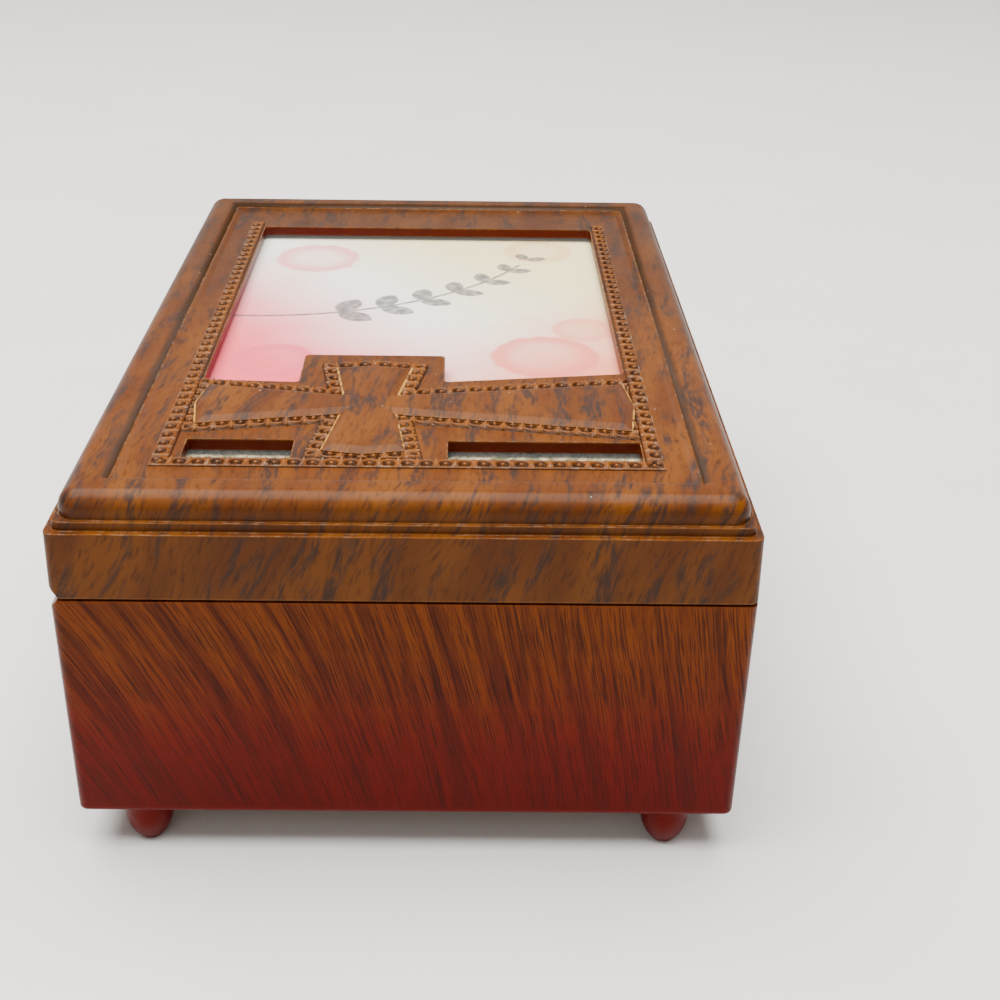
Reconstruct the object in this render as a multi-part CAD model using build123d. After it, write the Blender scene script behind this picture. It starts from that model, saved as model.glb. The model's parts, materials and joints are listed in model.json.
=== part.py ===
from build123d import *
import math
import os

os.makedirs("parts", exist_ok=True)

# Music box with a moulded lid that frames a picture behind a raised cross.
# Origin: centre of the box on the plane its feet stand on.
# +X: along the box, away from the cross end. +Y: towards the hinges. +Z: up.

# Box
length = 158.75
width = 108.0
wall = 3.0
foot_height = 7.6
foot_radius = 4.0
foot_end_inset = 5.4
foot_side_inset = 11.3
base_top = 48.2
base_draft = 0.8
corner_radius = 1.5
seam_height = 0.5
seam_depth = 0.7

# Bottom plate and the ledge it is screwed to
plate_bottom = 9.6
plate_thickness = 2.5
ledge_thickness = 3.0
ledge_width = 6.0
plate_inset = 4.2
corner_block = (69.4, 38.0)

# Flocked tray
tray_top = 42.7
tray_skin = 1.2
tray_gap = 0.2
divider = 2.2
bay_ledge = 1.1
cover_thickness = 1.5
bay_x = (-75.0, -24.8)
bay_y = (-17.8, 49.6)

# Lid
skirt_height = 11.05
moulding_ledge = 1.06
moulding_rise = 1.5
shoulder_inset = 1.7
shoulder_radius = 3.1
crest_height = 5.75
panel_height = 4.5
panel_inset = 9.4
panel_thickness = 2.0
seat_inset = 12.5
glazing_thickness = 1.0
print_thickness = 0.3
card_thickness = 0.7
liner_thickness = 2.0

# Openings in the lid panel and the cross on it
window_far = 57.1
window_side = 37.2
small_window_x = (-62.1, -55.4)
small_window_head = (18.7, 36.0)
small_window_foot = (-37.3, -6.2)
cross_centre = (-42.2, 7.3)
cross_rise = 1.0
cross_bevel = 1.6

# Hinges
hinge_axis_inset = 1.6
hinge_bevel_angle = 50.5
hinge_centres = (-45.0, 45.0)
hinge_length = 20.0
knuckle_radius = 1.3
hinge_pin_radius = 0.6
leaf_thickness = 0.55
leaf_depth = 4.95

# Movement, placed from the axis of its winding arbor
arbor_x = -47.0
arbor_y = 3.0
bed_thickness = 3.0
bed_x = (-69.0, -31.0)
bed_y = (-9.0, 41.0)
cylinder_axis_height = 12.5
cylinder_radius = 6.5
pin_tip_radius = 7.1
cylinder_start = 12.2
cylinder_length = 19.0
note_count = 18
pins_per_note = 7
shaft_radius = 1.0
arbor_radius = 2.0
thin_radius = 0.5
running_gap = 0.08
barrel_radius = 11.0
barrel_height = 5.9
bridge_flange = 1.2
comb_thickness = 0.9
comb_screw_offset = 18.4
plunger_radius = 1.5
lever_pin_radius = 0.8

# Gears
bevel_module = 0.6
bevel_wheel_teeth = 36
bevel_pinion_teeth = 12
bevel_face = 3.0
spur_module = 0.28
cylinder_wheel_teeth = 50
governor_pinion_teeth = 10
worm_module = 0.4
worm_wheel_teeth = 20
worm_starts = 2
worm_radius = 1.1

# Holes for screws of three sizes
fine_hole = 0.85
hinge_hole = 0.95
self_tap_hole = 1.05
plate_hole = 1.15

# Heights and places that follow
base_floor = plate_bottom + plate_thickness
ledge_top = base_floor + ledge_thickness
lid_bottom = base_top
wall_top = lid_bottom + skirt_height
crest = wall_top + crest_height
panel_top = wall_top + panel_height
panel_bottom = panel_top - panel_thickness
glazing_bottom = panel_bottom - glazing_thickness
print_bottom = glazing_bottom - print_thickness
frame_underside = print_bottom - card_thickness
liner_bottom = frame_underside - liner_thickness
hinge_y = width / 2 - hinge_axis_inset
inner_y = width / 2 - wall
bed_top = base_floor + bed_thickness
axis_z = bed_top + cylinder_axis_height
cover_bottom = tray_top - cover_thickness
spur_distance = spur_module * (cylinder_wheel_teeth + governor_pinion_teeth) / 2
worm_distance = worm_module * worm_wheel_teeth / 2 + worm_radius
governor_x = arbor_x + spur_distance
worm_x = governor_x + worm_distance
worm_y = arbor_y + 35.3
plunger_x = -52.0
plunger_y = 43.2
lever_x = -42.4
lever_z = 26.2


# Shape helpers

def block(x, y, z):
    """A box between the two values of each of x, y and z."""
    size = Box(x[1] - x[0], y[1] - y[0], z[1] - z[0])
    return Pos(sum(x) / 2, sum(y) / 2, sum(z) / 2) * size


def rod(x, y, z, radius):
    """An upright cylinder between the two values of z."""
    return Pos(x, y, sum(z) / 2) * Cylinder(radius, z[1] - z[0])


def rod_along_y(x, y, z, radius):
    """A cylinder along Y between the two values of y."""
    return Pos(x, sum(y) / 2, z) * Rot(90, 0, 0) * Cylinder(radius, y[1] - y[0])


def rod_along_x(x, y, z, radius):
    """A cylinder along X between the two values of x."""
    return Pos(sum(x) / 2, y, z) * Rot(0, 90, 0) * Cylinder(radius, x[1] - x[0])


def slab(inset, z, radius):
    """A plate of the box's outline, drawn in by inset, between the two values of z."""
    outline = RectangleRounded(length - 2 * inset, width - 2 * inset, radius)
    return Pos(0, 0, z[0]) * extrude(outline, z[1] - z[0])


def rectangle(inset, z):
    """A sharp-cornered prism of the box's outline, drawn in by inset."""
    return block((inset - length / 2, length / 2 - inset), (inset - width / 2, width / 2 - inset), z)


def prism(points, z):
    """A prism on a polygon in the XY plane."""
    return Pos(0, 0, z[0]) * extrude(make_face(Polyline(*points, close=True)), z[1] - z[0])


def screw(head_radius, head_height, shank_radius, shank_length):
    """A slotted screw: its head is below the origin, its shank runs up from it."""
    head = Pos(0, 0, -head_height / 2) * Cylinder(head_radius, head_height)
    shank = Pos(0, 0, shank_length / 2) * Cylinder(shank_radius, shank_length)
    slot = Pos(0, 0, -head_height) * Box(3 * head_radius, 0.25 * head_radius, 0.6 * head_height)
    return head + shank - slot


def export(name, *solids):
    """Writes one sub-part; identical pieces go in as separate solids."""
    pieces = [s for solid in solids for s in solid.solids()]
    shape = pieces[0] if len(pieces) == 1 else Compound(children=pieces)
    export_step(shape, f"parts/{name}.step")


# Base

def foot():
    """A tapering foot with a rounded lower end and a flat to stand on."""
    flat = 1.9
    outline = [
        Line((0, 0), (flat, 0)),
        ThreePointArc((flat, 0), (3.35, 2.3), (foot_radius, foot_height - 1)),
        Line((foot_radius, foot_height - 1), (foot_radius, foot_height + 1)),
        Line((foot_radius, foot_height + 1), (0, foot_height + 1)),
        Line((0, foot_height + 1), (0, 0)),
    ]
    return revolve(Plane.XZ * make_face(outline), Axis.Z)


def foot_places():
    x = length / 2 - foot_end_inset
    y = width / 2 - foot_side_inset
    return [(sx * x, sy * y) for sx in (-1, 1) for sy in (-1, 1)]


def notched(inset, gap, z):
    """A prism of the box's outline, drawn in by inset and notched for the blocks over the feet."""
    plate = rectangle(inset, z)
    x, y = (reach - gap for reach in corner_block)
    for side_x in ((-length, -x), (x, length)):
        for side_y in ((-width, -y), (y, width)):
            plate -= block(side_x, side_y, (z[0] - 1, z[1] + 1))
    return plate


def plate_screw_places():
    y = width / 2 - wall - ledge_width / 2 - 0.6
    return [(x, sy * y) for x in (-52.0, 0.0, 52.0) for sy in (-1, 1)]


def hinge_bevel(side):
    """The wedge cut off the rear rim behind the hinge line; side is -1 below it and 1 above it."""
    reach = hinge_axis_inset + 0.4
    rise = reach * math.tan(math.radians(hinge_bevel_angle))
    points = [(hinge_y, base_top), (hinge_y + reach, base_top), (hinge_y + reach, base_top + side * rise)]
    face = make_face(Polyline(*points, close=True))
    return Pos(-length, 0, 0) * extrude(Plane.YZ * face, 2 * length)


def hinge_room(side):
    """Pockets in a rim for the knuckles and the leaf of each hinge."""
    rooms = []
    half = hinge_length / 2 + 0.3
    rim = sorted((base_top, base_top + side * (leaf_thickness + 0.05)))
    for x in hinge_centres:
        span = (x - half, x + half)
        rooms.append(rod_along_x(span, hinge_y, base_top, knuckle_radius + 0.35))
        rooms.append(block(span, (inner_y - 1, hinge_y), rim))
    return rooms


def hinge_screw_places(side):
    z = base_top + side * 2.9
    return [(x + dx, z) for x in hinge_centres for dx in (-6.0, 6.0)]


def base_shell():
    """Moulded box wall with its feet, a ledge for the bottom plate and a V at the rear rim."""
    top = Pos(0, 0, base_top) * RectangleRounded(length, width, corner_radius)
    low = RectangleRounded(length - 2 * base_draft, width - 2 * base_draft, corner_radius)
    shell = loft([Pos(0, 0, foot_height) * low, top], ruled=True)
    shell = fillet(shell.edges().group_by(Axis.Z)[0], base_draft)
    shell -= slab(wall, (ledge_top, base_top + 1), 1.0)
    shell -= notched(plate_inset, 0, (foot_height - 1, base_floor))
    shell -= notched(wall + ledge_width, 0, (foot_height, ledge_top + 1))
    seam = slab(-1, (base_top - seam_height, base_top + 1), corner_radius)
    shell -= seam - slab(seam_depth, (base_top - seam_height, base_top + 1), corner_radius)
    for x, y in foot_places():
        shell += Pos(x, y, 0) * foot()
    for x, y in plate_screw_places():
        shell -= rod(x, y, (base_floor - 1, ledge_top + 1), plate_hole)
    shell -= hinge_bevel(-1)
    for room in hinge_room(-1):
        shell -= room
    for x, z in hinge_screw_places(-1):
        shell -= rod_along_y(x, (inner_y - 1, inner_y + 2.25), z, hinge_hole)
    return shell


def bottom_plate():
    """Board that closes the box from below and carries the movement."""
    plate = notched(plate_inset + 0.15, 0.15, (plate_bottom, base_floor))
    for x, y in plate_screw_places():
        plate -= rod(x, y, (plate_bottom - 1, base_floor + 1), plate_hole)
    for x, y in movement_screw_places():
        plate -= rod(x, y, (plate_bottom - 1, base_floor + 1), 1.3)
    plate -= rod(arbor_x, arbor_y, (plate_bottom - 1, base_floor + 1), 4.0)
    return plate


def movement_screw_places():
    return [(bed_x[0] + 4, bed_y[0] + 4), (bed_x[1] - 4, bed_y[0] + 4), (bed_x[0] + 4, bed_y[1] - 4)]


def cover_screw_places():
    return [(x, y) for x in (bay_x[0] + 3.4, bay_x[1] - 3.4) for y in (bay_y[0] + 3.4, bay_y[1] - 3.4)]


def tray_liner():
    """Flocked tray: a large compartment, a small one and an open bay over the movement."""
    outer = wall + tray_gap
    skin = outer + tray_skin
    tray = slab(outer, (ledge_top, tray_top), 1.0)
    main_x = (bay_x[1] + divider, length / 2 - skin)
    tray -= block(main_x, (skin - width / 2, width / 2 - skin), (ledge_top + tray_skin, tray_top + 1))
    tray -= block(bay_x, (skin - width / 2, bay_y[0] - divider), (ledge_top + tray_skin, tray_top + 1))
    low_x = (bay_x[0] + bay_ledge, bay_x[1] - bay_ledge)
    low_y = (bay_y[0] + bay_ledge, bay_y[1] - bay_ledge)
    tray -= block(bay_x, bay_y, (cover_bottom, tray_top + 1))
    tray -= block(low_x, low_y, (ledge_top - 1, tray_top))
    for x, y in cover_screw_places():
        tray += rod(x, y, (ledge_top, cover_bottom), 2.6)
        tray -= rod(x, y, (cover_bottom - 6, cover_bottom), self_tap_hole)
    return tray


def movement_cover():
    """Clear cover over the movement, with a hole for the stop plunger."""
    gap = 0.15
    x = (bay_x[0] + gap, bay_x[1] - gap)
    y = (bay_y[0] + gap, bay_y[1] - gap)
    cover = block(x, y, (cover_bottom, tray_top))
    for sx, sy in cover_screw_places():
        cover -= rod(sx, sy, (cover_bottom - 1, tray_top + 1), self_tap_hole)
    cover -= rod(plunger_x, plunger_y, (cover_bottom - 1, tray_top + 1), plunger_radius + running_gap)
    return cover


# Hinges

def knuckle_spans(x):
    """Where the knuckles of a hinge lie: two on the base leaf and one between them on the lid leaf."""
    end = hinge_length / 2
    middle = 3.6
    gap = 0.3
    return [(x - end, x - middle - gap), (x - middle, x + middle), (x + middle + gap, x + end)]


def hinge_leaf(x, side):
    """A leaf that lies in the rim and bends along the inner face of the wall."""
    span = (x - hinge_length / 2, x + hinge_length / 2)
    near = base_top + side * 0.05
    far = base_top + side * leaf_thickness
    tip = base_top + side * leaf_depth
    leaf = block(span, (inner_y - leaf_thickness, hinge_y), sorted((near, far)))
    leaf += block(span, (inner_y - leaf_thickness, inner_y), sorted((near, tip)))
    own = (0, 2) if side < 0 else (1,)
    for i, knuckle in enumerate(knuckle_spans(x)):
        if i in own:
            leaf += rod_along_x(knuckle, hinge_y, base_top, knuckle_radius)
        else:
            room = (knuckle[0] - 0.3, knuckle[1] + 0.3)
            leaf -= rod_along_x(room, hinge_y, base_top, knuckle_radius + 0.3)
    leaf -= rod_along_x((span[0] - 1, span[1] + 1), hinge_y, base_top, hinge_pin_radius + 0.05)
    for sx, sz in hinge_screw_places(side):
        leaf -= rod_along_y(sx, (inner_y - 2, inner_y + 1), sz, hinge_hole)
    return leaf


def hinge_screws(side):
    outward = Rot(-90, 0, 0) * screw(1.5, 0.7, 0.9, 2.7)
    return [Pos(x, inner_y - leaf_thickness, z) * outward for x, z in hinge_screw_places(side)]


# Lid

def lid_frame():
    """Moulded lid: a plain skirt, two small steps, a round shoulder and a slope down to the panel."""
    frame = slab(0, (lid_bottom, wall_top), corner_radius)
    frame += slab(moulding_ledge, (wall_top, wall_top + moulding_rise), corner_radius)
    shoulder = slab(shoulder_inset, (wall_top + moulding_rise, crest), shoulder_radius + 0.2)
    frame += fillet(shoulder.edges().group_by(Axis.Z)[-1], shoulder_radius)
    low = Pos(0, 0, panel_top) * Rectangle(length - 2 * panel_inset, width - 2 * panel_inset)
    brow = shoulder_inset + shoulder_radius
    high = Pos(0, 0, crest) * Rectangle(length - 2 * brow, width - 2 * brow)
    frame -= loft([low, high], ruled=True)
    frame -= rectangle(panel_inset, (panel_bottom, panel_top + 0.01))
    frame -= rectangle(seat_inset, (lid_bottom, panel_top))
    frame -= slab(wall, (lid_bottom - 1, frame_underside), 1.0)
    frame -= hinge_bevel(1)
    for room in hinge_room(1):
        frame -= room
    for x, z in hinge_screw_places(1):
        frame -= rod_along_y(x, (inner_y - 1, inner_y + 2.25), z, hinge_hole)
    for x, y in liner_screw_places():
        frame -= rod(x, y, (frame_underside - 1, frame_underside + 2), self_tap_hole)
    return frame


def liner_screw_places():
    x = length / 2 - 8.0
    y = width / 2 - 8.0
    return [(sx * x, sy * y) for sx in (-1, 1) for sy in (-1, 1)]


def cross_outline():
    """A cross with flared arms whose ends come to a shallow point. Its head lies towards +Y."""
    cx, cy = cross_centre
    waist_x = 3.9
    waist_y = 4.7
    point = 1.2
    arms = [
        ((0, 1), 29.6, waist_x, 8.0),
        ((-1, 0), 19.0, waist_y, 6.7),
        ((0, -1), 45.0, waist_x, 9.6),
        ((1, 0), 17.0, waist_y, 6.7),
    ]
    points = []
    for (dx, dy), reach, waist, end in arms:
        base = waist_y if dx == 0 else waist_x
        # Along the arm and across it, in the order that runs anticlockwise round the cross
        for along, across in ((base, -waist), (reach - point, -end), (reach, 0), (reach - point, end)):
            points.append((cx + along * dx - across * dy, cy + along * dy + across * dx))
    return points


def window_outline():
    """The picture opening, stepped round the far arm of the cross."""
    return [
        (window_far, window_side),
        (-31.2, window_side),
        (-32.0, 20.4),
        (-19.4, 20.4),
        (-19.4, -5.2),
        (-31.4, -5.2),
        (-27.0, -window_side),
        (window_far, -window_side),
    ]


def lid_panel():
    """Inset panel with the picture opening, two small windows and the raised cross."""
    panel = rectangle(panel_inset + 0.2, (panel_bottom, panel_top))
    opening = prism(window_outline(), (panel_bottom - 1, panel_top + 1))
    panel -= fillet(opening.edges().filter_by(Axis.Z), 0.9)
    for span in (small_window_head, small_window_foot):
        panel -= block(small_window_x, span, (panel_bottom - 1, panel_top + 1))
    outline = make_face(Polyline(*cross_outline(), close=True))
    flat = offset(outline, -cross_bevel, kind=Kind.INTERSECTION)
    bevel_bottom = panel_top + 0.4 * cross_rise
    panel += Pos(0, 0, panel_top - 0.2) * extrude(outline, bevel_bottom - panel_top + 0.2)
    panel += loft([Pos(0, 0, bevel_bottom) * outline, Pos(0, 0, panel_top + cross_rise) * flat], ruled=True)
    return panel


# Movement frame

def bedplate():
    """Cast plate that carries the movement, with a flange for the comb."""
    outline = RectangleRounded(bed_x[1] - bed_x[0], bed_y[1] - bed_y[0], 2.0)
    plate = Pos(sum(bed_x) / 2, sum(bed_y) / 2, base_floor) * extrude(outline, bed_thickness)
    plate -= rod(arbor_x, arbor_y, (base_floor - 1, bed_top + 1), arbor_radius + running_gap)
    # A window under the cylinder, as the casting has
    low = (arbor_y + cylinder_start + 2, arbor_y + cylinder_start + cylinder_length - 3)
    plate -= block((arbor_x - 6, arbor_x + 5), low, (base_floor - 1, bed_top + 1))
    for x, y in movement_screw_places():
        plate -= rod(x, y, (base_floor - 1, bed_top - 0.5), self_tap_hole)
    for x, y in comb_screw_places():
        plate -= rod(x, y, (bed_top - 1.6, bed_top + 1), fine_hole)
    for x, y in governor_screw_places() + bridge_screw_places():
        plate -= rod(x, y, (bed_top - 2.1, bed_top + 1), fine_hole)
    return plate


def spring_barrel():
    """Cup round the mainspring."""
    cup = rod(arbor_x, arbor_y, (bed_top, bed_top + barrel_height), barrel_radius)
    cup -= rod(arbor_x, arbor_y, (bed_top + 0.6, bed_top + 7), barrel_radius - 0.8)
    return cup - rod(arbor_x, arbor_y, (bed_top - 1, bed_top + 1), arbor_radius + running_gap)


def barrel_cover():
    low = bed_top + barrel_height
    disc = rod(arbor_x, arbor_y, (low, low + 0.6), barrel_radius)
    return disc - rod(arbor_x, arbor_y, (low - 1, low + 1), arbor_radius + running_gap)


def mainspring():
    """Spiral strip between the arbor and the wall of the barrel, in half turns."""
    thickness = 0.35
    inner_radius = 2.9
    step = 0.72
    half_turns = 18
    rims = []
    for extra in (0, thickness):
        arcs = []
        for i in range(half_turns):
            start = inner_radius + extra + i * step / 2
            end = start + step / 2
            sign = 1 if i % 2 == 0 else -1
            middle = (start + end) / 2
            centre = sign * (start - end) / 2
            arcs.append(ThreePointArc((sign * start, 0), (centre, sign * middle), (-sign * end, 0)))
        rims.append(arcs)
    last = inner_radius + half_turns * step / 2
    ends = [
        Line((inner_radius, 0), (inner_radius + thickness, 0)),
        Line((last, 0), (last + thickness, 0)),
    ]
    strip = extrude(make_face(rims[0] + rims[1] + ends), 4.8)
    return Pos(arbor_x, arbor_y, bed_top + 0.8) * strip


def bridge_screw_places():
    y = arbor_y + 1.8
    return [(arbor_x - 13.7, y), (arbor_x + 13.7, y)]


def bearing_bridge():
    """Arch over the great wheel that holds the near end of the cylinder's shaft."""
    y = (arbor_y + 3.6, arbor_y + 5.6)
    half_span = 12.0
    half_width = 15.4
    top = axis_z + 3.4
    flange_depth = 3.4
    arch = block((arbor_x - half_width, arbor_x + half_width), y, (bed_top, top))
    through = (y[0] - 1, y[1] + 1)
    arch -= block((arbor_x - half_span, arbor_x + half_span), through, (bed_top - 1, axis_z - 1.9))
    for side in (-1, 1):
        corner = block((-3.5, 3.5), through, (-3.5, 3.5))
        arch -= Pos(arbor_x + side * half_width, 0, top) * Rot(0, 45, 0) * corner
        foot_x = sorted((arbor_x + side * half_span, arbor_x + side * half_width))
        arch += block(foot_x, (y[0] - flange_depth, y[1]), (bed_top, bed_top + bridge_flange))
    for sx, sy in bridge_screw_places():
        arch -= rod(sx, sy, (bed_top - 1, bed_top + bridge_flange + 1), fine_hole)
    arch += rod_along_y(arbor_x, y, axis_z, 2.7)
    arch -= rod_along_y(arbor_x, through, axis_z, shaft_radius + running_gap)
    return arch


def comb_screw_places():
    x = arbor_x - comb_screw_offset
    y = arbor_y + cylinder_start + cylinder_length / 2
    return [(x, y - 7.0), (x, y), (x, y + 7.0)]


def comb_rest():
    """Block that lifts the comb to the height of the cylinder's axis."""
    y = arbor_y + cylinder_start + cylinder_length / 2
    x = (bed_x[0] + 0.4, arbor_x - 15.6)
    rest = block(x, (y - 10.6, y + 10.6), (bed_top, axis_z))
    rest -= block((x[0] - 1, x[0] + 1.6), (y - 11, y + 11), (axis_z - 3, axis_z + 1))
    for sx, sy in comb_screw_places():
        rest -= rod(sx, sy, (bed_top - 1, axis_z + 1), fine_hole)
    return rest


def comb():
    """Steel comb: the long teeth sound low, the short ones high."""
    y0 = arbor_y + cylinder_start + cylinder_length / 2
    tip = arbor_x - pin_tip_radius - 0.15
    root_low = arbor_x - comb_screw_offset + 2.9
    root_high = root_low + 2.2
    back = root_low - 5.1
    half = 10.4
    outline = [(back, y0 - half), (root_low, y0 - half), (root_high, y0 + half), (back, y0 + half)]
    plate = prism(outline, (axis_z, axis_z + comb_thickness))
    pitch = note_pitch()
    for i in range(note_count):
        y = first_note_y() + i * pitch
        plate += block((root_low - 1, tip), (y - 0.36, y + 0.36), (axis_z, axis_z + comb_thickness))
    for sx, sy in comb_screw_places():
        plate -= rod(sx, sy, (axis_z - 1, axis_z + 2), fine_hole)
    return plate


def note_pitch():
    return (cylinder_length - 2.4) / (note_count - 1)


def first_note_y():
    return arbor_y + cylinder_start + 1.2


def governor_screw_places():
    return [(arbor_x - 1.6, worm_y + 1.1), (worm_x - 2.2, worm_y + 0.6)]


def governor_bracket():
    """Casting with the far bearings of the train and both bearings of the upright worm shaft."""
    inner = (worm_y - 1.9, worm_y - 0.9)
    outer = (worm_y + 1.0, worm_y + 2.2)
    right = worm_x + 2.4
    bracket = block((arbor_x - 3.2, right), (inner[0], outer[1]), (bed_top, bed_top + 2.0))
    bracket += block((arbor_x - 3.0, governor_x + 2.6), inner, (bed_top, axis_z + 2.6))
    bracket += block((lever_x - 2.2, governor_x + 1.4), outer, (bed_top, axis_z + 2.6))
    column = (lever_x - 0.2, lever_x + 3.2)
    bracket += block(column, outer, (bed_top, bed_top + 23.3))
    arm = (bed_top + 21.9, bed_top + 23.3)
    bracket += block((column[0], worm_x + 1.8), (worm_y - 1.8, outer[1]), arm)
    near, far = inner[0] - 1, outer[1] + 1
    bracket -= rod_along_y(arbor_x, (near, inner[1] + 1), axis_z, shaft_radius + running_gap)
    bracket -= rod_along_y(governor_x, (near, far), axis_z, thin_radius + running_gap)
    bracket -= rod_along_y(lever_x, (inner[1], far), lever_z, lever_pin_radius)
    for z in ((bed_top + 0.8, bed_top + 3), (bed_top + 21, bed_top + 22.7)):
        bracket -= rod(worm_x, worm_y, z, thin_radius + running_gap)
    for x, y in governor_screw_places():
        bracket -= rod(x, y, (bed_top - 1, bed_top + 3), fine_hole)
    return bracket


# Winding

def winding_arbor():
    """Shaft that the key turns; it goes through the bottom plate and up to the great wheel."""
    return rod(arbor_x, arbor_y, (plate_bottom - 3.4, bed_top + 9.6), arbor_radius)


def winding_key():
    """Butterfly key on the end of the arbor, above the plane the feet stand on."""
    top = plate_bottom - 0.7
    low = 1.5
    boss = rod(0, 0, (low + 1.2, top), 3.3)
    wing = Pos(0, 0, (low + top - 1.6) / 2) * Box(20.0, 1.7, top - 1.6 - low)
    wing = fillet(wing.edges().filter_by(Axis.Y), 2.4)
    for side in (-1, 1):
        wing -= rod_along_y(side * 6.6, (-2, 2), (low + top - 1.6) / 2, 1.3)
    key = boss + wing
    key -= rod(0, 0, (plate_bottom - 3.4, top + 1), arbor_radius)
    return Pos(arbor_x, arbor_y, 0) * Rot(0, 0, 35) * key


def bevel_tooth(radius, height, turn):
    """A tooth that tapers to the apex at the origin; radius and height place its outer pitch point."""
    reach = math.hypot(radius, height)
    outward = (height / reach, radius / reach)
    inner = (reach - bevel_face) / reach
    pitch = math.pi * bevel_module
    ends = []
    for scale in (1.0, inner):
        corners = []
        for lift, half in ((-1.2, 0.27), (0.8, 0.12)):
            r = radius + lift * bevel_module * outward[0]
            z = -height + lift * bevel_module * outward[1]
            reach_across = half * pitch * scale
            corners += [(r * scale, -reach_across, z * scale), (r * scale, reach_across, z * scale)]
        a, b, c, d = corners
        ends.append(make_face(Polyline(a, b, d, c, close=True)))
    return Rot(0, 0, turn) * loft(ends, ruled=True)


def bevel_gear(teeth, mate, back, bore, first_turn):
    """A bevel gear below its apex, on the Z axis, with a disc of thickness back behind its teeth."""
    radius = bevel_module * teeth / 2
    height = bevel_module * mate / 2
    reach = math.hypot(radius, height)
    inner = (reach - bevel_face) / reach
    root = (radius - 1.1 * bevel_module * height / reach, height + 1.1 * bevel_module * radius / reach)
    web = max(bore + 0.6, root[0] * inner - 0.4)
    low = -root[1] - back
    web_top = max(-root[1], low + 1.1) if teeth > mate else -root[1] * inner
    outline = [
        (bore, low),
        (root[0] + 0.25, low),
        root_point(root, 1.0),
        root_point(root, inner),
        (web, web_top),
        (bore, web_top),
    ]
    gear = revolve(Plane.XZ * make_face(Polyline(*outline, close=True)), Axis.Z)
    tooth_list = [bevel_tooth(radius, height, first_turn + i * 360 / teeth) for i in range(teeth)]
    return gear.fuse(*tooth_list)


def root_point(root, scale):
    return (root[0] * scale, -root[1] * scale)


def great_wheel():
    """Wheel on the arbor; a tooth faces the pinion."""
    gear = bevel_gear(bevel_wheel_teeth, bevel_pinion_teeth, 1.3, arbor_radius, 90)
    return Pos(arbor_x, arbor_y, axis_z) * gear


def bevel_pinion():
    """Pinion on the cylinder's shaft; a gap faces down to the great wheel."""
    half_pitch = 180 / bevel_pinion_teeth
    gear = bevel_gear(bevel_pinion_teeth, bevel_wheel_teeth, 0.5, shaft_radius, 90 + half_pitch)
    # The gear's apex side turns towards the arbor
    return Pos(arbor_x, arbor_y, axis_z) * Rot(90, 0, 0) * gear


# Cylinder

def spur_gear(teeth, module, thickness, bore, tip_height, root_depth, widths, turn):
    """Flat gear on the Z axis; widths are the tooth's at its root and tip, in pitches."""
    radius = module * teeth / 2
    pitch = math.pi * module
    points = []
    for i in range(teeth):
        centre = math.radians(turn + i * 360 / teeth)
        corners = (
            (radius - root_depth, -widths[0]),
            (radius + tip_height, -widths[1]),
            (radius + tip_height, widths[1]),
            (radius - root_depth, widths[0]),
        )
        for r, half in corners:
            angle = centre + half * pitch / r
            points.append((r * math.cos(angle), r * math.sin(angle)))
    gear = extrude(make_face(Polyline(*points, close=True)), thickness)
    return gear - Pos(0, 0, thickness / 2) * Cylinder(bore, thickness * 2)


def cylinder():
    """Pinned cylinder: each pin plucks the tooth of its track once a turn."""
    start = arbor_y + cylinder_start
    drum = Cylinder(cylinder_radius, cylinder_length) - Cylinder(shaft_radius, cylinder_length + 1)
    pins = []
    pin_height = pin_tip_radius - cylinder_radius + 0.4
    for track in range(note_count):
        along = first_note_y() + track * note_pitch() - start - cylinder_length / 2
        for beat in range(pins_per_note):
            # A steady beat, shifted on each track by a step that never repeats within it
            turn = beat * 360 / pins_per_note + track * 137.5 + 11 * math.sin(3 * beat + track)
            pin = Pos(pin_tip_radius - pin_height / 2, 0, along) * Box(pin_height, 0.34, 0.34)
            pins.append(Rot(0, 0, turn) * pin)
    drum = drum.fuse(*pins)
    return Pos(arbor_x, start + cylinder_length / 2, axis_z) * Rot(-90, 0, 0) * drum


def cylinder_shaft():
    return rod_along_y(arbor_x, (arbor_y + 3.0, worm_y - 0.2), axis_z, shaft_radius)


def cylinder_wheel():
    """Wheel on the far end of the cylinder; a tooth faces the governor's pinion."""
    gear = spur_gear(cylinder_wheel_teeth, spur_module, 1.2, shaft_radius, 0.24, 0.34, (0.24, 0.1), 0)
    y = arbor_y + cylinder_start + cylinder_length + 0.4
    return Pos(arbor_x, y, axis_z) * Rot(-90, 0, 0) * gear


# Governor

def governor_pinion():
    half_pitch = 180 / governor_pinion_teeth
    widths = (0.2, 0.07)
    gear = spur_gear(governor_pinion_teeth, spur_module, 1.6, thin_radius, 0.24, 0.34, widths, half_pitch)
    y = arbor_y + cylinder_start + cylinder_length + 0.2
    return Pos(governor_x, y, axis_z) * Rot(-90, 0, 0) * gear


def governor_arbor():
    y = (arbor_y + cylinder_start + cylinder_length, worm_y + 2.2)
    return rod_along_y(governor_x, y, axis_z, thin_radius)


def worm_wheel():
    """Thin wheel whose teeth run in the worm; a tooth faces the worm."""
    thickness = 0.6
    gear = spur_gear(worm_wheel_teeth, worm_module, thickness, thin_radius, 0.35, 0.45, (0.22, 0.1), 0)
    return Pos(governor_x, worm_y - thickness / 2, axis_z) * Rot(-90, 0, 0) * gear


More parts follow.
